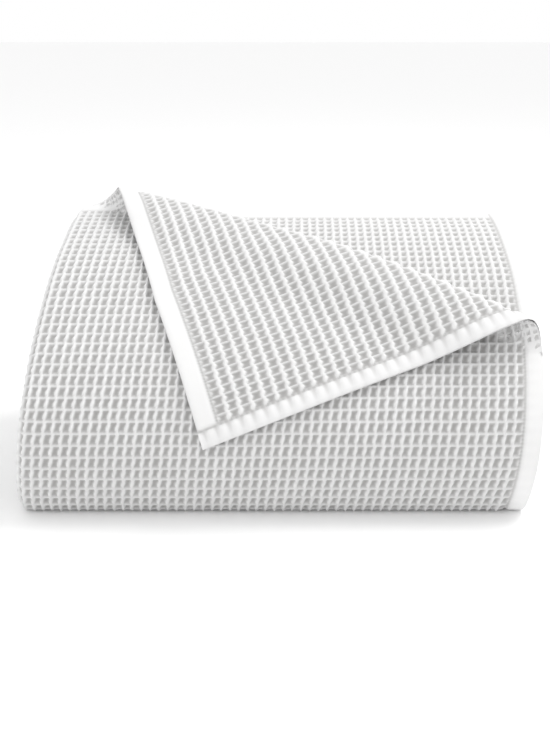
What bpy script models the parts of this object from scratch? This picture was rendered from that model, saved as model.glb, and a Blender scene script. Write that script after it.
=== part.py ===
"""Waffle weave cotton blanket, folded into a thick stack with its top corner turned over.

One sheet of cloth. It is folded in quarters across its width, which gives a pack of
four plies, and the pack is then folded in eight along its length. The pack's cross-section
is drawn flat, run out along the whole folded length, and then laid into the stack:
first the loose back corner of the outer ply is turned over a slanting crease, then
the packs are bent round one another. Metres, +Z up, the front faces -Y, and the
underside rests on z = 0.
"""

import math

import bmesh
import bpy
import numpy as np

for old in list(bpy.data.objects):
    bpy.data.objects.remove(old, do_unlink=True)

# ---- the cloth ----
PLY_WIDTH = 0.419  # one quarter of the blanket's width
PLY_PITCH = 0.0058  # from one ply to the next, where the stack is thickest
CLOTH = 0.0036  # thickness of the waffle cloth
PLIES = 4  # in one pack
LEVELS = 4  # nested packs above the middle of the stack, and as many below it
LEAN = 0.020  # the top of the stack sits this much further to the right

# ---- the outer ply in side view, walked from where it leaves the floor ----
# up: share of the way from the floor to the end hem at the back, slope: degrees
# from level, over 90 where it still leans forward.
OUTLINE_LENGTH = 0.386
OUTLINE = (
    # up, slope
    (0.000, 180),
    (0.030, 128),
    (0.060, 113),
    (0.120, 98),
    (0.200, 74),
    (0.280, 58),
    (0.360, 46),
    (0.440, 38),
    (0.520, 33),
    (0.600, 27),
    (0.680, 19),
    (0.760, 14),
    (0.840, 12),
    (0.920, 8),
    (1.000, 2),
)
BEND_PLANE = 0.048  # the rear folds start this far in front of the end hem
F1_BACK = 0.024  # how far behind that plane the innermost fold starts
CORE_TIP = (0.092, 0.066)  # behind the floor line, height: where the middle layers turn

# ---- the turned-over corner of the outer ply ----
CREASE_LEFT = 0.012  # from the left fold to the crease, along the end hem
CREASE_RIGHT = 0.234  # from the end hem to the crease, along the right hem
LOOP_LEFT, LOOP_MIDDLE, LOOP_RIGHT = 0.0100, 0.0080, 0.0120  # radius of the crease
LOOP_SETTLE = 0.075  # length over which the corner comes down to rest
FLAP_GAP = 0.0014  # between the corner and the ply under it
FLAP_DRAW = 1.17  # the corner's cloth is pulled out square to the crease
FLAP_SKEW = -0.38  # and back along it

MESH_ALONG_TOP = (0.0, 0.048, 0.085, 0.120, 0.155, 0.190, 0.220, 0.245, 0.268)
MESH_FRONT = (0.290, 0.310, 0.328, 0.344, 0.356, 0.366, 0.374, 0.381, 0.386)
TURN_STEPS = 6
LOOP_CUTS = (0.0, 0.004, 0.008, 0.013, 0.019, 0.025, 0.031, 0.040, 0.054, 0.075, 0.100)
FLAP_CUTS = (0.075, 0.125, 0.170, 0.210, 0.245, 0.270, 0.290, 0.305)


# ---- the outline as a smooth curve, s measured from the end hem ----
def outline():
    ups = np.array([row[0] for row in OUTLINE])
    slopes = np.radians([row[1] for row in OUTLINE])
    t = np.linspace(0, 1, 1501)
    slope = np.interp(t, ups, slopes)
    width = 45
    kernel = np.hanning(width)
    kernel /= kernel.sum()
    padded = np.concatenate(
        [2 * slope[0] - slope[width // 2 : 0 : -1], slope, 2 * slope[-1] - slope[-2 : -width // 2 - 1 : -1]]
    )
    slope = np.convolve(padded, kernel, "valid")
    slope[0] = slopes[0]
    step = OUTLINE_LENGTH / (len(t) - 1)
    middle = (slope[1:] + slope[:-1]) / 2
    y = np.concatenate([[0], np.cumsum(np.cos(middle) * step)])
    z = np.concatenate([[0], np.cumsum(np.sin(middle) * step)])
    z -= z.min()
    s = OUTLINE_LENGTH * (1 - t)
    return s[::-1], y[::-1], z[::-1], slope[::-1]


S_OUT, Y_OUT, Z_OUT, SLOPE_OUT = outline()
HEIGHT = float(Z_OUT[0])


def on_outline(s):
    """(y, z, slope) of the outer face; beyond the floor line it runs back along the floor."""
    if s >= OUTLINE_LENGTH:
        return Y_OUT[-1] + (s - OUTLINE_LENGTH), 0.0, math.pi
    return (
        float(np.interp(s, S_OUT, Y_OUT)),
        float(np.interp(s, S_OUT, Z_OUT)),
        float(np.interp(s, S_OUT, SLOPE_OUT)),
    )


PLANE_Y, PLANE_Z, _ = on_outline(BEND_PLANE)
FLOOR_RUN = PLANE_Y - float(Y_OUT[-1])  # length that lies on the floor
HAIR_LENGTH = OUTLINE_LENGTH + FLOOR_RUN - BEND_PLANE
CORE_BACK = (PLANE_Y, PLANE_Z / 2)
REACH = PLANE_Z / 2  # half the stack's height at the bend plane
FAN_TOP = 0.200  # s where the middle layers' tip faces the top
FAN_FLOOR = OUTLINE_LENGTH + 0.100  # and where it faces the floor
GAP = PLY_PITCH - CLOTH
PACK = PLIES * PLY_PITCH
WHOLE = LEVELS * PACK


def core(s):
    """The line between the two innermost packs, at outline length s."""
    if s < FAN_TOP:
        f = (FAN_TOP - s) / (FAN_TOP - BEND_PLANE)
    elif s > FAN_FLOOR:
        f = (s - FAN_FLOOR) / (BEND_PLANE + HAIR_LENGTH - FAN_FLOOR)
    else:
        f = 0.0
    f = min(max(f, 0.0), 1.0)
    return (
        CORE_TIP[0] + f * (CORE_BACK[0] - CORE_TIP[0]),
        CORE_TIP[1] + f * f * (CORE_BACK[1] - CORE_TIP[1]),
    )


def in_hairpin(s, share):
    """A point of the loft between the core (0) and the outline (1)."""
    y, z, _ = on_outline(s)
    cy, cz = core(s)
    return cy + share * (y - cy), cz + share * (z - cz)


def at_rear(back, share):
    """Behind the bend plane on the upper side: `back` metres further to the rear."""
    y, z, _ = on_outline(BEND_PLANE - back)
    return (
        PLANE_Y + (y - PLANE_Y),
        CORE_BACK[1] + share * (PLANE_Z - CORE_BACK[1]) + share * (z - PLANE_Z),
    )


def share_of(level, outward, h):
    """Level 1 is the outermost pack. `outward`: the pack's face h = 0 is its outer one."""
    top = 1 - (level - 1) / LEVELS
    if level == 1:
        return top - h / WHOLE
    if outward:
        return top - (GAP / 2 + h) / WHOLE
    return top - 1 / LEVELS + (GAP / 2 + h) / WHOLE


# ---- the folded strip from one end hem to the other ----
# Each run: kind, level, outward, and for a hairpin whether it starts at the top.
def turn(start, end, centre, angle, clockwise):
    ra = math.hypot(start[0] - centre[0], start[1] - centre[1])
    rb = math.hypot(end[0] - centre[0], end[1] - centre[1])
    f = angle / math.pi
    r = ra + f * (rb - ra)
    a = -math.pi / 2 + angle
    return centre[0] + r * math.cos(a), centre[1] + r * math.sin(a)


FLOOR_S = BEND_PLANE + HAIR_LENGTH


def fold_2(f, h, lower, upper):
    """Rear fold from the lower pack up to the upper one, round the floor side's middle."""
    centre = in_hairpin(FLOOR_S, 0.5)
    a = in_hairpin(FLOOR_S, share_of(*lower, h))
    b = in_hairpin(FLOOR_S, share_of(*upper, h))
    return turn(a, b, centre, math.pi * f, False)


def fold_1(f, h):
    """Rear fold from the fourth pack up to the third one."""
    centre = at_rear(F1_BACK, 0.25)
    a = at_rear(F1_BACK, share_of(4, False, h))
    b = at_rear(F1_BACK, share_of(3, True, h))
    return turn(a, b, centre, math.pi * f, False)


def run_table():
    """(length, function of (share of the run, h)) in the order of the cloth."""
    h1, h4, h3, h2 = (1, True), (4, False), (3, True), (2, False)

    def hair(level, forward):
        def place(f, h):
            s = BEND_PLANE + HAIR_LENGTH * (f if forward else 1 - f)
            return in_hairpin(s, share_of(*level, h))

        return place

    def rear(level, reach, outgoing):
        def place(f, h):
            return at_rear(reach * (f if outgoing else 1 - f), share_of(*level, h))

        return place

    return (
        (BEND_PLANE, rear(h1, BEND_PLANE, False)),
        (HAIR_LENGTH, hair(h1, True)),
        (0.110, lambda f, h: fold_2(f, h, h1, h4)),
        (HAIR_LENGTH, hair(h4, False)),
        (F1_BACK, rear(h4, F1_BACK, True)),
        (0.050, lambda f, h: fold_1(f, h)),
        (F1_BACK, rear(h3, F1_BACK, False)),
        (HAIR_LENGTH, hair(h3, True)),
        (0.040, lambda f, h: fold_2(1 - f, h, h2, h3)),
        (HAIR_LENGTH, hair(h2, False)),
        (BEND_PLANE, rear(h2, BEND_PLANE - 0.004, True)),
    )


RUNS = run_table()
STARTS = np.concatenate([[0], np.cumsum([length for length, _ in RUNS])])


def stations():
    hair = [s for s in MESH_ALONG_TOP + MESH_FRONT if s >= BEND_PLANE]
    hair += [OUTLINE_LENGTH + d for d in (0.012, 0.045, 0.100, FLOOR_RUN)]
    shares = [(s - BEND_PLANE) / HAIR_LENGTH for s in hair]
    kinds = ("rear", "hair", "turn", "back", "rear", "turn", "rear", "hair", "turn", "back", "rear")
    found = []
    for start, (length, _), kind in zip(STARTS, RUNS, kinds):
        if kind == "hair":
            at = shares
        elif kind == "back":
            at = [1 - f for f in reversed(shares)]
        elif kind == "turn":
            at = [i / TURN_STEPS for i in range(TURN_STEPS + 1)]
        else:
            at = [0.0, 1.0]
        found += [start + f * length for f in at]
    found = sorted(found)
    return [found[0]] + [b for a, b in zip(found, found[1:]) if b - a > 1e-6]


# ---- the pack's cross-section, as the cloth's middle line ----
def section():
    """(x, h, nx, nh) along the cloth from the outer ply's right hem to the second ply's."""
    half = PLY_WIDTH / 2
    centre = [i * PLY_PITCH + CLOTH / 2 for i in range(PLIES)]
    points = []

    outer = 1.5 * PLY_PITCH
    small = 0.5 * PLY_PITCH
    left, right = -half + outer + CLOTH / 2, half - small - CLOTH / 2
    inner_left = -half + 2 * PLY_PITCH
    # ply 1, outer left fold, ply 4, right fold, ply 3, inner left fold, ply 2
    corners = [
        (half, centre[0]), (left, centre[0]), (left, centre[3]), (right, centre[3]),
        (right, centre[2]), (inner_left, centre[2]), (inner_left, centre[1]), (half, centre[1]),
    ]
    path = []
    for i, (x, h) in enumerate(corners):
        path.append((x, h))
        if i == 1:
            path += [(left - outer * math.sin(a), (centre[0] + centre[3]) / 2 - outer * math.cos(a)) for a in np.linspace(0, math.pi, 6)[1:-1]]
        elif i == 3:
            path += [(right + small * math.sin(a), (centre[3] + centre[2]) / 2 + small * math.cos(a)) for a in np.linspace(0, math.pi, 4)[1:-1]]
        elif i == 5:
            path += [(inner_left - small * math.sin(a), (centre[2] + centre[1]) / 2 + small * math.cos(a)) for a in np.linspace(0, math.pi, 4)[1:-1]]
    path = np.array(path)
    ends = np.vstack([path[:1], path, path[-1:]])
    normals = []
    for before, here, after in zip(ends, ends[1:], ends[2:]):
        a, b = here - before, after - here
        a = a / (np.linalg.norm(a) or 1)
        b = b / (np.linalg.norm(b) or 1)
        t = a + b
        t /= np.linalg.norm(t)
        widen = 1 / max(np.dot(t, a if a.any() else b), 0.7)
        normals.append((t[1] * widen, -t[0] * widen))
    return path, np.array(normals)


# ---- the crease ----
A = np.array([-PLY_WIDTH / 2 + CREASE_LEFT, 0.0])
B = np.array([PLY_WIDTH / 2, CREASE_RIGHT])
ALONG = (B - A) / np.linalg.norm(B - A)
BEYOND = np.array([ALONG[1], -ALONG[0]])
CREASE = float(np.linalg.norm(B - A))


def loop_radius(q):
    f = min(max(q / CREASE, 0.0), 1.0)
    return np.interp(f, (0, 0.45, 1), (LOOP_LEFT, LOOP_MIDDLE, LOOP_RIGHT))


def settle(radius, d):
    """(distance back, drop) after d metres from the top of the loop."""
    drop = 2 * radius - FLAP_GAP
    steps = 24
    reach = min(d, LOOP_SETTLE)
    back = fall = 0.0
    steepest = 2 * drop / LOOP_SETTLE
    for i in range(steps):
        u = (i + 0.5) / steps * reach
        a = steepest * math.sin(math.pi * u / LOOP_SETTLE) ** 2
        back += math.cos(a) * reach / steps
        fall += math.sin(a) * reach / steps
    return back + max(d - LOOP_SETTLE, 0.0), fall


def turned(x, s, h):
    """Where the outer ply's point goes: (x, s, height over the ply's outer face)."""
    offset = np.array([x, s]) - A
    q, w = float(offset @ ALONG), float(offset @ BEYOND)
    if w <= 0:
        return x, s, -h
    q += FLAP_SKEW * w
    w *= FLAP_DRAW
    radius = loop_radius(q)
    if w < math.pi * radius:
        a = w / radius
        p, height = (radius + h) * math.sin(a), radius - (radius + h) * math.cos(a)
    else:
        back, fall = settle(radius, w - math.pi * radius)
        p, height = -back, 2 * radius - fall + h
    place = A + q * ALONG + p * BEYOND
    return float(place[0]), float(place[1]), height


def lay(x, s, h):
    """The point of the flat strip in its place in the stack."""
    if s < STARTS[2] and -1e-6 <= h <= CLOTH + 1e-6 and x > -PLY_WIDTH / 2 + 1.6 * PLY_PITCH:
        x2, s2, height = turned(x, s, h)
        if height > -h + 1e-9:
            s2 = max(s2, -0.02)
            y, z, slope = on_outline(max(s2, 0.0))
            y += max(-s2, 0.0)
            y -= math.sin(slope) * height
            z += math.cos(slope) * height
            return x2 + LEAN * z / HEIGHT, y, z
    i = min(int(np.searchsorted(STARTS, s, side="right")) - 1, len(RUNS) - 1)
    length, place = RUNS[i]
    y, z = place((s - STARTS[i]) / length, h)
    return x + LEAN * z / HEIGHT, y, z


def blanket():
    path, normals = section()
    count = len(path)
    outer = path + normals * CLOTH / 2
    inner = path - normals * CLOTH / 2
    if outer[0][1] > inner[0][1]:
        outer, inner = inner, outer
    ring = np.vstack([outer, inner])
    bm = bmesh.new()
    rows = []
    for s in stations():
        rows.append([bm.verts.new((x, s, h)) for x, h in ring])
    for a, b in zip(rows, rows[1:]):
        for i in range(count - 1):
            bm.faces.new((a[i], a[i + 1], b[i + 1], b[i]))
            j = count + i
            bm.faces.new((a[j + 1], a[j], b[j], b[j + 1]))
        bm.faces.new((a[count], a[0], b[0], b[count]))
        bm.faces.new((a[count - 1], a[2 * count - 1], b[2 * count - 1], b[count - 1]))
    for row, flip in ((rows[0], False), (rows[-1], True)):
        for i in range(count - 1):
            face = (row[i], row[count + i], row[count + i + 1], row[i + 1])
            bm.faces.new(face[::-1] if flip else face)

    # The outer ply is cut into strips along the crease, so that it can bend round it,
    # and across the corner, so that it can follow the front of the stack.
    def outer_ply(face):
        return all(-1e-6 <= v.co.z <= CLOTH + 1e-6 and v.co.y < STARTS[2] and v.co.x > -PLY_WIDTH / 2 + 1.6 * PLY_PITCH for v in face.verts)

    def cut(point, normal, beyond_only):
        faces = [f for f in bm.faces if outer_ply(f)]
        if beyond_only:
            faces = [f for f in faces if (np.array(f.calc_center_median()[:2]) - A) @ BEYOND > 0]
        edges = {e for f in faces for e in f.edges}
        verts = {v for f in faces for v in f.verts}
        bmesh.ops.bisect_plane(
            bm, geom=faces + list(edges) + list(verts), dist=1e-7,
            plane_co=(point[0], point[1], 0), plane_no=(normal[0], normal[1], 0),
        )

    for w in LOOP_CUTS:
        cut(A + w * BEYOND, BEYOND, False)
    # The fold sends this direction of the flat cloth down the front of the stack.
    down = ALONG[1] * ALONG + (FLAP_SKEW * ALONG[1] - FLAP_DRAW * BEYOND[1]) * BEYOND
    for s in FLAP_CUTS:
        cut(A + s * down / (down @ down), down, True)
    bmesh.ops.recalc_face_normals(bm, faces=bm.faces[:])
    bmesh.ops.triangulate(bm, faces=bm.faces[:])
    for v in bm.verts:
        v.co = lay(*v.co)
    if bm.calc_volume(signed=True) < 0:
        bmesh.ops.reverse_faces(bm, faces=bm.faces[:])
    mesh = bpy.data.meshes.new("blanket")
    bm.to_mesh(mesh)
    bm.free()
    points = np.array([v.co for v in mesh.vertices])
    shift = -(points.max(axis=0) + points.min(axis=0)) / 2
    for v in mesh.vertices:
        v.co.x += shift[0]
        v.co.y += shift[1]
    obj = bpy.data.objects.new("blanket", mesh)
    bpy.context.scene.collection.objects.link(obj)
    return obj


cloth = blanket()
cotton = bpy.data.materials.new("white_cotton")
cotton.use_nodes = True
shader = cotton.node_tree.nodes["Principled BSDF"]
shader.inputs["Base Color"].default_value = (0.86, 0.86, 0.85, 1)
shader.inputs["Roughness"].default_value = 0.92
cloth.data.materials.append(cotton)
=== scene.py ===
"""Waffle weave cotton blanket: the folded cloth with its real weave, on a pale studio floor.

The cloth is mapped from its flat section and length into the stack in the same way as
the frame's solid. Where it shows, its waffle cells are geometry. Metres, +Z up.
"""

import math

import bpy
import numpy as np
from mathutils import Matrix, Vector


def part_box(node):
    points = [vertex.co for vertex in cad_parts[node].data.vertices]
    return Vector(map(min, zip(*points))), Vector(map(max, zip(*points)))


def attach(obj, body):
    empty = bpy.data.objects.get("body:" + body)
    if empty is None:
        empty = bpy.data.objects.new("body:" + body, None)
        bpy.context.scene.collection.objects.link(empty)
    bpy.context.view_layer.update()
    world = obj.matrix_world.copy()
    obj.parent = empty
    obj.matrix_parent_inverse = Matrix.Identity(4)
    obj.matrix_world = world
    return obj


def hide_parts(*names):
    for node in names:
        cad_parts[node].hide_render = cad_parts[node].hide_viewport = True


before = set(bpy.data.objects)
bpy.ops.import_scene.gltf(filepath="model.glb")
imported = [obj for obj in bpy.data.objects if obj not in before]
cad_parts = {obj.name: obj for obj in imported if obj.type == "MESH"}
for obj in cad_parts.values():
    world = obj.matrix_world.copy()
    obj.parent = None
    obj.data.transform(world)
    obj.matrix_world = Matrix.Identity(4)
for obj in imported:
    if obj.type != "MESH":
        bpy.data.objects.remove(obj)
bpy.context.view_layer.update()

# ---- the cloth and its folds, the same sizes as the solid ----
PLY_WIDTH = 0.419
PLY_PITCH = 0.0058
CLOTH = 0.0036
PLIES = 4
LEVELS = 4
LEAN = 0.020
OUTLINE_LENGTH = 0.386
OUTLINE = (
    # up, slope
    (0.000, 180), (0.030, 128), (0.060, 113), (0.120, 98), (0.200, 74),
    (0.280, 58), (0.360, 46), (0.440, 38), (0.520, 33), (0.600, 27),
    (0.680, 19), (0.760, 14), (0.840, 12), (0.920, 8), (1.000, 2),
)
BEND_PLANE = 0.048
F1_BACK = 0.024
CORE_TIP = (0.092, 0.066)
FAN_TOP = 0.200
FAN_FLOOR = OUTLINE_LENGTH + 0.100
CREASE_LEFT = 0.012
CREASE_RIGHT = 0.234
LOOP_RADII = (0.0100, 0.0080, 0.0120)
LOOP_SETTLE = 0.075
FLAP_GAP = 0.0014
FLAP_DRAW = 1.17
FLAP_SKEW = -0.38

# ---- the weave ----
CELL_ACROSS = 0.00735  # cell width, between the ridges that run front to back
CELL_ALONG = 0.0098  # cell length
RELIEF = 0.0030  # from the bottom of a cell to its ridges
SIDE_HEM = 0.0150  # width of the plain band down each side
END_HEM = 0.0165  # width of the flat tape across each end
SEAM = 0.0016  # half-width of the stitched groove beside a hem
STITCH = 0.0032  # stitch length

GAP = PLY_PITCH - CLOTH
WHOLE = LEVELS * PLIES * PLY_PITCH


def outline():
    ups = np.array([row[0] for row in OUTLINE])
    slopes = np.radians([row[1] for row in OUTLINE])
    t = np.linspace(0, 1, 1501)
    slope = np.interp(t, ups, slopes)
    width = 45
    kernel = np.hanning(width)
    kernel /= kernel.sum()
    half = width // 2
    ahead = 2 * slope[0] - slope[half:0:-1]
    after = 2 * slope[-1] - slope[-2 : -half - 2 : -1]
    slope = np.convolve(np.concatenate([ahead, slope, after]), kernel, "valid")
    slope[0] = slopes[0]
    step = OUTLINE_LENGTH / (len(t) - 1)
    middle = (slope[1:] + slope[:-1]) / 2
    y = np.concatenate([[0], np.cumsum(np.cos(middle) * step)])
    z = np.concatenate([[0], np.cumsum(np.sin(middle) * step)])
    z -= z.min()
    return OUTLINE_LENGTH * (1 - t[::-1]), y[::-1], z[::-1], slope[::-1]


S_OUT, Y_OUT, Z_OUT, SLOPE_OUT = outline()
HEIGHT = float(Z_OUT[0])
PLANE_Y = float(np.interp(BEND_PLANE, S_OUT, Y_OUT))
PLANE_Z = float(np.interp(BEND_PLANE, S_OUT, Z_OUT))
FLOOR_RUN = PLANE_Y - float(Y_OUT[-1])
HAIR_LENGTH = OUTLINE_LENGTH + FLOOR_RUN - BEND_PLANE
FLOOR_S = BEND_PLANE + HAIR_LENGTH
CORE_BACK = (PLANE_Y, PLANE_Z / 2)


def on_outline(s):
    s = np.asarray(s, float)
    past = np.maximum(s - OUTLINE_LENGTH, 0)
    y = np.interp(s, S_OUT, Y_OUT) + past + np.maximum(-s, 0)
    return y, np.interp(s, S_OUT, Z_OUT), np.interp(s, S_OUT, SLOPE_OUT)


def in_hairpin(s, share):
    y, z, _ = on_outline(s)
    f = np.where(
        s < FAN_TOP,
        (FAN_TOP - s) / (FAN_TOP - BEND_PLANE),
        (s - FAN_FLOOR) / (FLOOR_S - FAN_FLOOR),
    )
    f = np.clip(f, 0, 1)
    cy = CORE_TIP[0] + f * (CORE_BACK[0] - CORE_TIP[0])
    cz = CORE_TIP[1] + f * f * (CORE_BACK[1] - CORE_TIP[1])
    return cy + share * (y - cy), cz + share * (z - cz)


def at_rear(back, share):
    y, z, _ = on_outline(BEND_PLANE - back)
    return y, CORE_BACK[1] + share * (PLANE_Z - CORE_BACK[1]) + share * (z - PLANE_Z)


def share_of(level, outward, h):
    top = 1 - (level - 1) / LEVELS
    if level == 1:
        return top - h / WHOLE
    if outward:
        return top - (GAP / 2 + h) / WHOLE
    return top - 1 / LEVELS + (GAP / 2 + h) / WHOLE


def turn(start, end, centre, f):
    ra = np.hypot(start[0] - centre[0], start[1] - centre[1])
    rb = np.hypot(end[0] - centre[0], end[1] - centre[1])
    r = ra + f * (rb - ra)
    a = math.pi * (f - 0.5)
    return centre[0] + r * np.cos(a), centre[1] + r * np.sin(a)


def fold_2(f, h, lower, upper):
    s = np.full_like(h, FLOOR_S)
    ends = [in_hairpin(s, share_of(*pack, h)) for pack in (lower, upper)]
    return turn(*ends, in_hairpin(s, 0.5), f)


def fold_1(f, h):
    back = np.full_like(h, F1_BACK)
    ends = [at_rear(back, share_of(*pack, h)) for pack in ((4, False), (3, True))]
    return turn(*ends, at_rear(back, 0.25), f)


def hair(pack, forward):
    def place(f, h):
        s = BEND_PLANE + HAIR_LENGTH * (f if forward else 1 - f)
        return in_hairpin(s, share_of(*pack, h))

    return place


def rear(pack, reach, outgoing):
    def place(f, h):
        return at_rear(reach * (f if outgoing else 1 - f), share_of(*pack, h))

    return place


P1, P2, P3, P4 = (1, True), (2, False), (3, True), (4, False)
RUNS = (
    # length, place(share of the run, depth in the pack), rows of mesh
    (BEND_PLANE, rear(P1, BEND_PLANE, False), 4),
    (HAIR_LENGTH, hair(P1, True), 60),
    (0.110, lambda f, h: fold_2(f, h, P1, P4), 20),
    (HAIR_LENGTH, hair(P4, False), 50),
    (F1_BACK, rear(P4, F1_BACK, True), 3),
    (0.050, fold_1, 16),
    (F1_BACK, rear(P3, F1_BACK, False), 3),
    (HAIR_LENGTH, hair(P3, True), 50),
    (0.040, lambda f, h: fold_2(1 - f, h, P2, P3), 14),
    (HAIR_LENGTH, hair(P2, False), 55),
    (BEND_PLANE, rear(P2, BEND_PLANE - 0.004, True), 4),
)
STARTS = np.concatenate([[0], np.cumsum([run[0] for run in RUNS])])

# ---- the crease ----
A = np.array([-PLY_WIDTH / 2 + CREASE_LEFT, 0.0])
B = np.array([PLY_WIDTH / 2, CREASE_RIGHT])
CREASE = float(np.linalg.norm(B - A))
ALONG = (B - A) / CREASE
BEYOND = np.array([ALONG[1], -ALONG[0]])


def from_crease(x, s):
    return (x - A[0]) * ALONG[0] + (s - A[1]) * ALONG[1], (x - A[0]) * BEYOND[0] + (s - A[1]) * BEYOND[1]


def settle(radius, d):
    drop = 2 * radius - FLAP_GAP
    reach = np.minimum(d, LOOP_SETTLE)
    steepest = 2 * drop / LOOP_SETTLE
    back = fall = 0.0
    steps = 24
    for i in range(steps):
        u = (i + 0.5) / steps * reach
        a = steepest * np.sin(math.pi * u / LOOP_SETTLE) ** 2
        back = back + np.cos(a) * reach / steps
        fall = fall + np.sin(a) * reach / steps
    return back + np.maximum(d - LOOP_SETTLE, 0), fall


def turned(x, s, h):
    """The outer ply's point round the crease: (x, s, height over the ply's face)."""
    q, w = from_crease(x, s)
    radius = np.interp(q / CREASE, (0, 0.45, 1), LOOP_RADII)
    q = q + FLAP_SKEW * w
    w = w * FLAP_DRAW
    radius_q = np.interp(q / CREASE, (0, 0.45, 1), LOOP_RADII) * 0 + radius
    a = np.clip(w / radius_q, 0, math.pi)
    back, fall = settle(radius, np.maximum(w - math.pi * radius, 0))
    bent = w < math.pi * radius
    p = np.where(bent, (radius + h) * np.sin(a), -back)
    height = np.where(bent, radius - (radius + h) * np.cos(a), 2 * radius - fall + h)
    return A[0] + q * ALONG[0] + p * BEYOND[0], A[1] + q * ALONG[1] + p * BEYOND[1], height


LOOSE_FROM = -PLY_WIDTH / 2 + 1.6 * PLY_PITCH


def lay(x, s, h):
    """Points of the flat strip, in place in the stack."""
    x, s, h = (np.asarray(v, float).copy() for v in np.broadcast_arrays(x, s, h))
    y, z = np.zeros_like(x), np.zeros_like(x)
    run = np.clip(np.searchsorted(STARTS, s, side="right") - 1, 0, len(RUNS) - 1)
    for i, (length, place, _) in enumerate(RUNS):
        m = run == i
        if m.any():
            y[m], z[m] = place((s[m] - STARTS[i]) / length, h[m])
    _, w = from_crease(x, s)
    m = (s < STARTS[2]) & (h <= CLOTH + GAP / 2) & (x > LOOSE_FROM) & (w > 0)
    if m.any():
        x2, s2, height = turned(x[m], s[m], h[m])
        y2, z2, slope = on_outline(s2)
        x[m] = x2
        y[m] = y2 - np.sin(slope) * height
        z[m] = z2 + np.cos(slope) * height
    return np.stack([x + LEAN * z / HEIGHT, y, z], -1)


# ---- the pack's section: the cloth's middle line by arc length from the outer hem ----
def section_path():
    half = PLY_WIDTH / 2
    mid = [i * PLY_PITCH + CLOTH / 2 for i in range(PLIES)]
    outer, small = 1.5 * PLY_PITCH, 0.5 * PLY_PITCH
    left, right = -half + outer + CLOTH / 2, half - small - CLOTH / 2
    inner = -half + 2 * PLY_PITCH
    legs = (
        ("line", (half, mid[0]), (left, mid[0]), 60),
        ("arc", (left, (mid[0] + mid[3]) / 2), outer, -1, -1, 20),
        ("line", (left, mid[3]), (right, mid[3]), 40),
        ("arc", (right, (mid[3] + mid[2]) / 2), small, 1, 1, 8),
        ("line", (right, mid[2]), (inner, mid[2]), 40),
        ("arc", (inner, (mid[2] + mid[1]) / 2), small, -1, 1, 8),
        ("line", (inner, mid[1]), (half, mid[1]), 40),
    )
    points = []
    for leg in legs:
        if leg[0] == "line":
            _, start, end, n = leg
            for f in np.linspace(0, 1, n + 1):
                points.append([start[k] + f * (end[k] - start[k]) for k in (0, 1)])
        else:
            _, centre, radius, side, first, n = leg
            for a in np.linspace(0, math.pi, n + 1)[1:-1]:
                points.append([centre[0] + side * radius * math.sin(a), centre[1] + first * radius * math.cos(a)])
    points = np.array(points)
    t = np.gradient(points, axis=0)
    t /= np.linalg.norm(t, axis=1)[:, None]
    # The outer ply runs towards -x, and its outer face looks towards -h.
    normal = np.stack([t[:, 1], -t[:, 0]], -1)
    if normal[0][1] > 0:
        normal = -normal
    arc = np.concatenate([[0], np.cumsum(np.linalg.norm(np.diff(points, axis=0), axis=1))])
    return arc, points, normal


ARC, PATH, PATH_NORMAL = section_path()


def on_section(a, rise):
    """(x, h) at arc length a, `rise` outwards from the cloth's middle."""
    px, ph = (np.interp(a, ARC, PATH[:, k]) for k in (0, 1))
    nx, nh = (np.interp(a, ARC, PATH_NORMAL[:, k]) for k in (0, 1))
    return px + nx * rise, ph + nh * rise


# ---- meshes ----
SHIFT = None


def make(name, points, faces, across, along, material, depth=None, smooth=True):
    mesh = bpy.data.meshes.new(name)
    used = np.unique(faces)
    index = np.full(len(points), -1)
    index[used] = np.arange(len(used))
    mesh.from_pydata((points[used] + SHIFT).tolist(), [], index[faces].tolist())
    uv = mesh.uv_layers.new(name="cloth")
    loops = np.empty(len(mesh.loops), np.int32)
    mesh.loops.foreach_get("vertex_index", loops)
    flat = np.stack([across[used], along[used]], -1)
    uv.data.foreach_set("uv", flat[loops].astype(np.float32).ravel())
    # Each point's depth, which the cotton material turns into painted shade in the cells' pits.
    layer = mesh.attributes.new("pit_shade", "FLOAT", "POINT")
    values = np.zeros(len(used)) if depth is None else depth[used]
    layer.data.foreach_set("value", values.astype(np.float32))
    mesh.polygons.foreach_set("use_smooth", [smooth] * len(mesh.polygons))
    mesh.materials.append(material)
    obj = bpy.data.objects.new(name, mesh)
    bpy.context.scene.collection.objects.link(obj)
    return obj


def grid_faces(rows, columns, flip=False):
    i = np.arange(rows * columns).reshape(rows, columns)
    quads = np.stack([i[:-1, :-1], i[:-1, 1:], i[1:, 1:], i[1:, :-1]], -1).reshape(-1, 4)
    return quads[:, ::-1] if flip else quads


def ripple(i, j, salt):
    """A steady value from -1 to 1 for cell (i, j)."""
    v = np.sin(i * 12.9898 + j * 78.233 + salt * 37.719) * 43758.5453
    return 2 * (v - np.floor(v)) - 1


def waffle(a, s, cell_a, cell_s, a0, s0, strong_across):
    """Height from 0 to 1 of the waffle at (a, s). The strong ridges run along s on the
    face, and along a on the reverse."""
    u, v = (a - a0) / cell_a, (s - s0) / cell_s
    if strong_across:
        u, v = v, u
    iu, iv = np.round(u), np.floor(v)
    soft = ripple(iu, iv, 1) * (0.5 - 0.5 * np.cos(2 * math.pi * v))
    bow = 0.055 * np.sin(2 * math.pi * v + 0.6) + 0.045 * soft
    du = np.abs(u + bow - np.round(u + bow))
    jv = np.round(v)
    dv = np.abs(v + 0.035 * ripple(np.floor(u), jv, 2) - jv)
    pinch = 0.155 + 0.05 * np.cos(2 * math.pi * (v - 0.5)) + 0.015 * ripple(iu, iv, 3)
    strong = np.exp(-((du / pinch) ** 2) * 0.9)
    weak = 0.66 * np.exp(-((dv / 0.125) ** 2) * 0.9)
    return np.clip(np.maximum(strong, weak) * 0.75 + 0.25 * (strong + weak), 0, 1.08)


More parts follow.
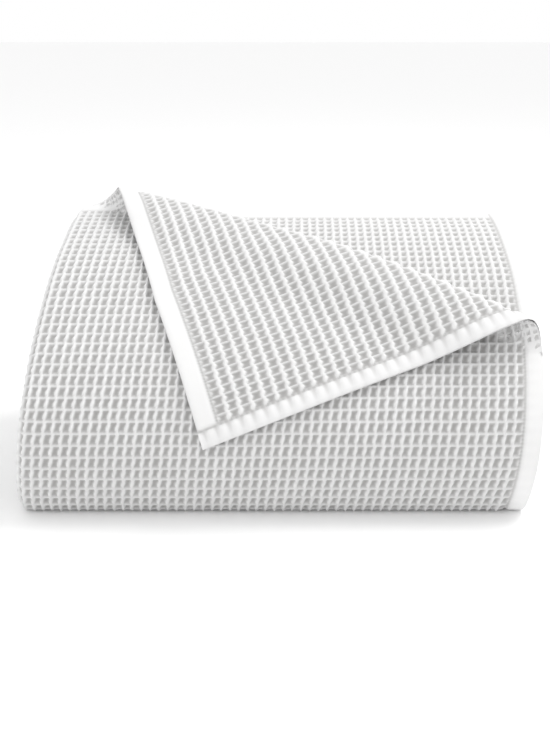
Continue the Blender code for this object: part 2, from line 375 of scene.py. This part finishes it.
def hem(height, d, width, along, level, gather=0.0, cell=CELL_ALONG):
    """A hem band of this width beside the edge, d metres in from the edge."""
    # Heights set here also set painted shade: the lower a point, the darker the cotton's colour ramp paints it, so
    # the seam's groove comes out dark.
    seam = np.exp(-(((d - width) / SEAM) ** 2))
    stitches = 0.5 + 0.5 * np.cos(2 * math.pi * along / STITCH)
    band = level + gather * np.cos(2 * math.pi * along / cell) * np.clip(d / width, 0.15, 1)
    edge = np.clip(d / 0.0012, 0, 1)
    band = band * (0.55 + 0.45 * edge)
    height = np.where(d < width, band, height)
    return height * (1 - seam) + seam * (0.12 + 0.16 * stitches)


def lines(cells, per_cell, cell, start):
    return start + np.arange(cells * per_cell + 1) * cell / per_cell


# ---- materials ----
def cotton(name, bump_cells):
    material = bpy.data.materials.new(name)
    material.use_nodes = True
    nodes, links = material.node_tree.nodes, material.node_tree.links
    shader = nodes["Principled BSDF"]
    shader.inputs["Roughness"].default_value = 0.9
    shader.inputs["Specular IOR Level"].default_value = 0.25
    shader.inputs["Sheen Weight"].default_value = 0.25
    shader.inputs["Sheen Roughness"].default_value = 0.5
    shader.inputs["Subsurface Weight"].default_value = 0.0

    def node(kind, **values):
        new = nodes.new(kind)
        for key, value in values.items():
            if key in new.inputs:
                new.inputs[key].default_value = value
            else:
                setattr(new, key, value)
        return new

    def maths(operation, a, b=None):
        new = nodes.new("ShaderNodeMath")
        new.operation = operation
        for k, value in enumerate((a, b)):
            if value is None:
                continue
            if isinstance(value, (int, float)):
                new.inputs[k].default_value = value
            else:
                links.new(value, new.inputs[k])
        return new.outputs[0]

    uv = node("ShaderNodeUVMap", uv_map="cloth")
    split = node("ShaderNodeSeparateXYZ")
    links.new(uv.outputs["UV"], split.inputs[0])
    yarn = node("ShaderNodeTexNoise", Scale=2600.0, Detail=2.0, Roughness=0.6)
    links.new(uv.outputs["UV"], yarn.inputs["Vector"])
    cloud = node("ShaderNodeTexNoise", Scale=22.0, Detail=3.0)
    links.new(uv.outputs["UV"], cloud.inputs["Vector"])
    # fine diagonal lines of the yarn
    twill = maths("SINE", maths("MULTIPLY", maths("ADD", split.outputs[0], split.outputs[1]), 2 * math.pi / 0.0011))
    height = maths("ADD", maths("MULTIPLY", twill, 0.22), maths("MULTIPLY", yarn.outputs["Fac"], 0.8))
    fine = node("ShaderNodeBump", Strength=0.35, Distance=0.0005)
    links.new(height, fine.inputs["Height"])
    normal = fine.outputs["Normal"]
    # The points' depth attribute sets the painted shade in the pits of the cells.
    pit_shade = node("ShaderNodeAttribute", attribute_name="pit_shade").outputs["Fac"]
    if bump_cells:
        waves = []
        for k, pitch, sharp in ((0, CELL_ACROSS, 2.0), (1, CELL_ALONG, 3.0)):
            wave = maths("COSINE", maths("MULTIPLY", split.outputs[k], 2 * math.pi / pitch))
            waves.append(maths("POWER", maths("ADD", maths("MULTIPLY", wave, 0.5), 0.5), sharp))
        cells = maths("MAXIMUM", waves[0], maths("MULTIPLY", waves[1], 0.8))
        coarse = node("ShaderNodeBump", Strength=0.9, Distance=0.0022)
        links.new(cells, coarse.inputs["Height"])
        links.new(fine.outputs["Normal"], coarse.inputs["Normal"])
        normal = coarse.outputs["Normal"]
        # Where the cells are only bumped, their painted pit shade comes from the same bump pattern.
        pit_shade = maths("MULTIPLY", maths("SUBTRACT", 1.0, cells), 0.8)
    links.new(normal, shader.inputs["Normal"])
    # Painted shade: the colour ramp darkens the white cotton from 0.88 on the ridges to 0.42 at the bottom of the
    # pits.
    ramp = node("ShaderNodeValToRGB")
    ramp.color_ramp.elements[0].color = (0.88, 0.88, 0.88, 1)
    ramp.color_ramp.elements[1].color = (0.42, 0.415, 0.41, 1)
    middle = ramp.color_ramp.elements.new(0.45)
    middle.color = (0.79, 0.79, 0.79, 1)
    links.new(pit_shade, ramp.inputs["Fac"])
    mix = node("ShaderNodeMix", data_type="RGBA", blend_type="MULTIPLY")
    mix.inputs[0].default_value = 1.0
    tint = node("ShaderNodeValToRGB")
    tint.color_ramp.elements[0].color = (0.96, 0.955, 0.95, 1)
    tint.color_ramp.elements[1].color = (1, 1, 1, 1)
    links.new(cloud.outputs["Fac"], tint.inputs["Fac"])
    links.new(ramp.outputs["Color"], mix.inputs[6])
    links.new(tint.outputs["Color"], mix.inputs[7])
    links.new(mix.outputs[2], shader.inputs["Base Color"])
    return material


woven = cotton("white_cotton_relief", False)
layers = cotton("white_cotton_layers", True)

# ---- pieces ----
FACE_COLUMNS = int(round((ARC[60] - SIDE_HEM + math.pi * 1.5 * PLY_PITCH) / CELL_ACROSS)) + 1
HEM_STEPS = (0.0, 0.0008, 0.004, 0.0075, 0.011, 0.0134, 0.0145)


def relief(name, a_lines, s_lines, side, keep, shape, material):
    """A sheet of real cells. side is 1 for the cloth's outer face and -1 for its reverse."""
    a, s = np.meshgrid(a_lines, s_lines)
    height = shape(a, s)
    x_mid, _ = on_section(a.ravel(), 0)
    _, past_crease = from_crease(x_mid, s.ravel())
    depth = RELIEF * (1 - height.ravel())
    if side > 0:
        # Inside the turned crease the two faces share one cloth's thickness.
        depth = depth * np.clip(1 - past_crease / 0.002, 0.08, 1)
    x, h = on_section(a.ravel(), side * (CLOTH / 2 - depth))
    points = lay(x, s.ravel(), h)
    faces = grid_faces(len(s_lines), len(a_lines), flip=side < 0)
    q, w = from_crease(x, s.ravel())
    radius = np.interp(q / CREASE, (0, 0.45, 1), LOOP_RADII)
    ok = keep(x, s.ravel(), w, radius)
    faces = faces[ok[faces].all(axis=1)]
    # The cells' depth is also stored for the painted shade in their pits.
    return make(name, points, faces, a.ravel(), s.ravel(), material, (1 - height).ravel())


def face_shape(a, s):
    height = waffle(a, s, CELL_ACROSS, CELL_ALONG, SIDE_HEM, END_HEM, False)
    height = hem(height, s, END_HEM, a, 0.72)
    return hem(height, a, SIDE_HEM, s, 0.72, 0.06)


a_face = np.concatenate([HEM_STEPS, lines(FACE_COLUMNS, 6, CELL_ACROSS, SIDE_HEM)])
rows_face = int((FLOOR_S + 0.02 - END_HEM) / CELL_ALONG)
visible_rows = int((OUTLINE_LENGTH + 0.02 - END_HEM) / CELL_ALONG)
s_face = np.concatenate([
    np.linspace(0, END_HEM, 8)[:-1],
    lines(visible_rows, 6, CELL_ALONG, END_HEM),
])
ARC_FOLD_END = ARC[60] + math.pi * 1.5 * PLY_PITCH



def folds():
    """The whole folded cloth as one closed sheet, with its shown faces set back for the weave."""
    a = ARC[np.r_[0:60:6, 60:80:2, 80:119:10, 119:128:2, 128:167:10, 167:176:2, 176:216:10, 216]]
    s = np.concatenate(
        [start + np.linspace(0, 1, n + 1)[:-1] * length for start, (length, _, n) in zip(STARTS, RUNS)]
        + [STARTS[-1:]]
    )
    near = np.concatenate([LOOSE_LINES, s[s > LOOSE_LINES[-1] + 1e-4]])
    s = np.unique(np.round(near, 6))
    a = np.unique(np.round(np.concatenate([np.linspace(0, ARC[60], 70), a]), 6))
    aa, ss = np.meshgrid(a, s)
    aa, ss = aa.ravel(), ss.ravel()
    sides = []
    x_mid, _ = on_section(aa, 0)
    _, w = from_crease(x_mid, ss)
    outer_ply = (aa < ARC_FOLD_END) & (ss < FLOOR_S + 0.05)
    second = (aa > ARC[176]) & (ss < BEND_PLANE + 0.25)
    loose = (w > 0) & (aa < ARC[60]) & (ss < STARTS[2])
    for side in (1, -1):
        rise = np.full_like(aa, CLOTH / 2)
        if side > 0:
            rise[outer_ply] = CLOTH / 2 - RELIEF - 0.0003
            rise[loose] = CLOTH / 2 - 0.00035
        else:
            rise[loose] = CLOTH / 2 - RELIEF - 0.00005
            rise[second] = CLOTH / 2 - RELIEF - 0.0003
        x, h = on_section(aa, side * rise)
        sides.append(lay(x, ss, h))
    columns, rows = len(a), len(s)
    count = rows * columns
    front = grid_faces(rows, columns)
    back = grid_faces(rows, columns, flip=True) + count
    i = np.arange(count).reshape(rows, columns)
    rims = []
    for line, flip in ((i[0], False), (i[-1], True), (i[:, 0], True), (i[:, -1], False)):
        rim = np.stack([line[1:], line[:-1], line[:-1] + count, line[1:] + count], -1)
        rims.append(rim[:, ::-1] if flip else rim)
    faces = np.concatenate([front, back] + rims)
    return make(
        "blanket_folds", np.concatenate(sides), faces,
        np.concatenate([aa, aa]), np.concatenate([ss, ss]), layers,
    )


LOOSE_LINES = np.linspace(0, BEND_PLANE + 0.36, 90)

# The row frame's origin is under the middle of the solid.
cad = bpy.data.objects["blanket"] if "blanket" in bpy.data.objects else None
low = np.array(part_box("blanket")[0])
high = np.array(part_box("blanket")[1])
SHIFT = np.array([(low[0] + PLY_WIDTH / 2), high[1] - PLANE_Y - BEND_PLANE, 0.0])

whole = folds()
face = relief(
    "blanket_face", a_face, s_face, 1,
    lambda x, s, w, radius: FLAP_DRAW * w < 2.6 * radius, face_shape, woven,
)


def corner_shape(a, s):
    # The corner's cells keep their size where they lie, so they are set out by its stretch.
    height = waffle(a, s, CORNER_ACROSS, CORNER_ALONG, SIDE_HEM / STRETCH_ACROSS, END_HEM / STRETCH_ALONG, True)
    height = hem(height, s * STRETCH_ALONG, END_HEM, a, 0.74)
    return hem(height, a * STRETCH_ACROSS, SIDE_HEM, s, 0.62, 0.36, CORNER_ALONG)


def stretch(x, s):
    q, w = x * ALONG[0] + s * ALONG[1], x * BEYOND[0] + s * BEYOND[1]
    return math.hypot(q + FLAP_SKEW * w, FLAP_DRAW * w)


STRETCH_ACROSS, STRETCH_ALONG = stretch(1, 0), stretch(0, 1)
CORNER_ACROSS = CELL_ACROSS / STRETCH_ACROSS
CORNER_ALONG = CELL_ALONG / STRETCH_ALONG
corner_columns = int((ARC[60] - SIDE_HEM / STRETCH_ACROSS) / CORNER_ACROSS)
corner_rows = int((CREASE_RIGHT + 0.01) / CORNER_ALONG)
corner = relief(
    "blanket_corner",
    np.concatenate([np.array(HEM_STEPS) / STRETCH_ACROSS, lines(corner_columns, 6, CORNER_ACROSS, SIDE_HEM / STRETCH_ACROSS)]),
    np.concatenate([np.linspace(0, END_HEM, 8)[:-1] / STRETCH_ALONG, lines(corner_rows, 8, CORNER_ALONG, END_HEM / STRETCH_ALONG)]),
    -1, lambda x, s, w, radius: w > -0.0005, corner_shape, woven,
)


def second_relief():
    """The second ply's outer face, where the corner turned off it."""
    total = ARC[-1]
    back_from_hem = np.concatenate([HEM_STEPS, lines(FACE_COLUMNS - 6, 5, CELL_ACROSS, SIDE_HEM)])
    s_lines = np.concatenate([np.linspace(0, END_HEM, 6)[:-1], lines(26, 5, CELL_ALONG, END_HEM)])
    b, s = np.meshgrid(back_from_hem, s_lines)
    height = face_shape(b, s)
    x, h = on_section(total - b.ravel(), -(CLOTH / 2 - RELIEF * (1 - height.ravel())))
    points = lay(x, s.ravel(), h)
    q, w = from_crease(x, s.ravel())
    radius = np.interp(q / CREASE, (0, 0.45, 1), LOOP_RADII)
    faces = grid_faces(len(s_lines), len(back_from_hem), flip=False)
    faces = faces[(w > -0.004)[faces].all(axis=1)]
    # The cells' depth is also stored for the painted shade in their pits.
    return make("blanket_second_ply", points, faces, b.ravel(), s.ravel(), woven, (1 - height).ravel())


second = second_relief()

pieces = (whole, face, corner, second)
for piece in pieces:
    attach(piece, "root")
    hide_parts("blanket")

# ---- studio ----
CAMERA_TILT = math.radians(20)  # down from level
CAMERA_LENS = 50
CAMERA_REACH = 0.850  # along the view to the line where the front meets the floor
CAMERA_ABOVE = 0.119  # that line sits this far under the middle of the view
floor_line = float(Y_OUT[-1]) + SHIFT[1]
camera = bpy.data.objects.new("camera", bpy.data.cameras.new("camera"))
camera.data.lens = CAMERA_LENS
camera.location = (
    -0.005,
    floor_line - CAMERA_REACH * math.cos(CAMERA_TILT) + CAMERA_ABOVE * math.sin(CAMERA_TILT),
    CAMERA_REACH * math.sin(CAMERA_TILT) + CAMERA_ABOVE * math.cos(CAMERA_TILT),
)
camera.rotation_euler = (math.pi / 2 - CAMERA_TILT, 0, 0)
bpy.context.scene.collection.objects.link(camera)
bpy.context.scene.camera = camera

floor_mesh = bpy.data.meshes.new("floor")
floor_mesh.from_pydata([(-9, -9, 0), (9, -9, 0), (9, 9, 0), (-9, 9, 0)], [], [(0, 1, 2, 3)])
floor = bpy.data.objects.new("floor", floor_mesh)
bpy.context.scene.collection.objects.link(floor)
paper = bpy.data.materials.new("pale_floor")
paper.use_nodes = True
paper_shader = paper.node_tree.nodes["Principled BSDF"]
paper_shader.inputs["Base Color"].default_value = (0.95, 0.95, 0.95, 1)
paper_shader.inputs["Roughness"].default_value = 0.9
paper_shader.inputs["Specular IOR Level"].default_value = 0.1
floor_mesh.materials.append(paper)

world = bpy.data.worlds.new("studio")
world.use_nodes = True
world.node_tree.nodes["Background"].inputs["Color"].default_value = (1, 1, 1, 1)
world.node_tree.nodes["Background"].inputs["Strength"].default_value = 1.0
bpy.context.scene.world = world
bpy.context.scene.view_settings.view_transform = "Standard"


def lamp(name, place, target, size, power):
    light = bpy.data.lights.new(name, "AREA")
    light.shape = "DISK"
    light.size = size
    light.energy = power
    obj = bpy.data.objects.new(name, light)
    obj.location = place
    obj.rotation_euler = (Vector(target) - Vector(place)).to_track_quat("-Z", "Y").to_euler()
    bpy.context.scene.collection.objects.link(obj)


lamp("key", (0.9, 0.3, 1.7), (0, 0, 0.1), 0.9, 14)
lamp("fill", (-1.0, -1.6, 1.3), (0, 0, 0.1), 1.5, 3)
